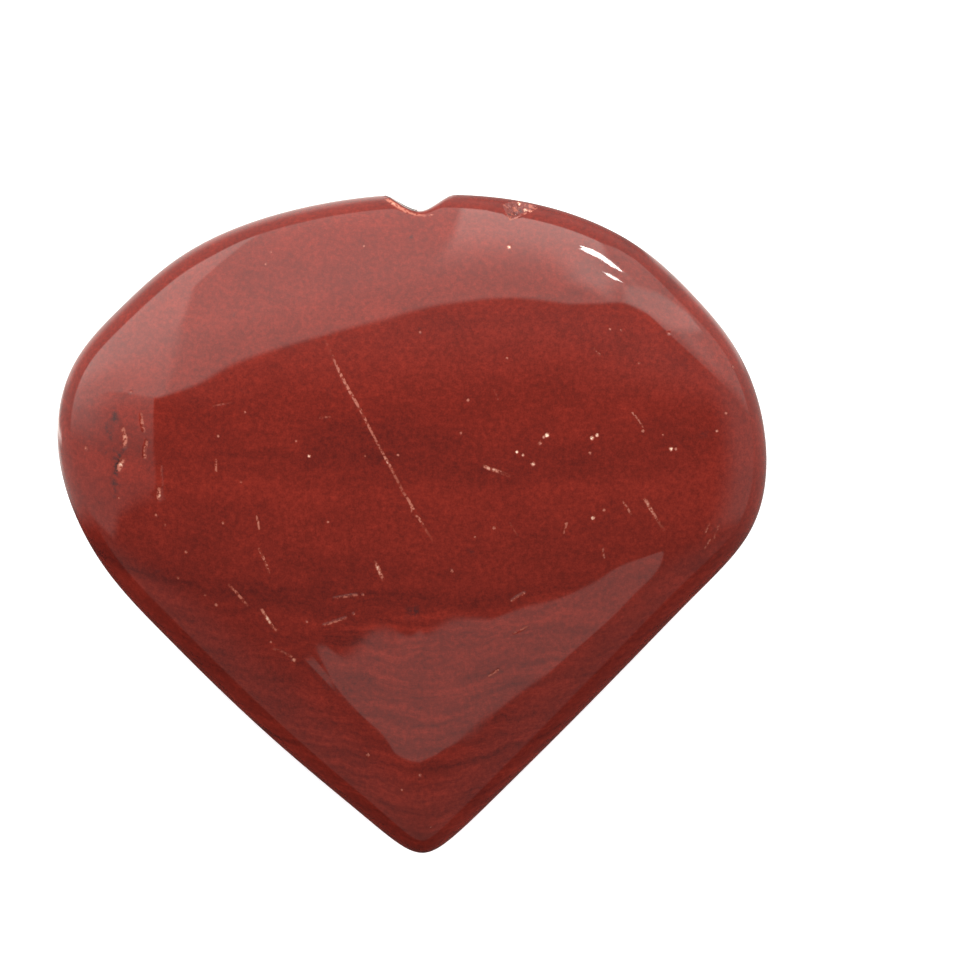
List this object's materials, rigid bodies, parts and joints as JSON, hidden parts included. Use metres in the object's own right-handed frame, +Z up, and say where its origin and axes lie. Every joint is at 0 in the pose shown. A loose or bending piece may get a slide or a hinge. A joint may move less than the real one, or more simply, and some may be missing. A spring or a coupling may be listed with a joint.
{
  "type": "red jasper heart",
  "caption": "Polished red jasper stone in a broad, puffed heart shape with a small notch, domed front and back, for holding in the hand or for display.",
  "frame": {"origin": "middle of the box round the stone, at the height of the surface it rests on", "axes": "+X across the lobes to the right, +Y from the tip to the notch, +Z up through the front dome"},
  "size_m": [0.0373, 0.0348, 0.0098],
  "materials": {
    "red_jasper": "polished"
  },
  "bodies": {
    "root": {"heart": "red_jasper"}
  },
  "joints": []
}
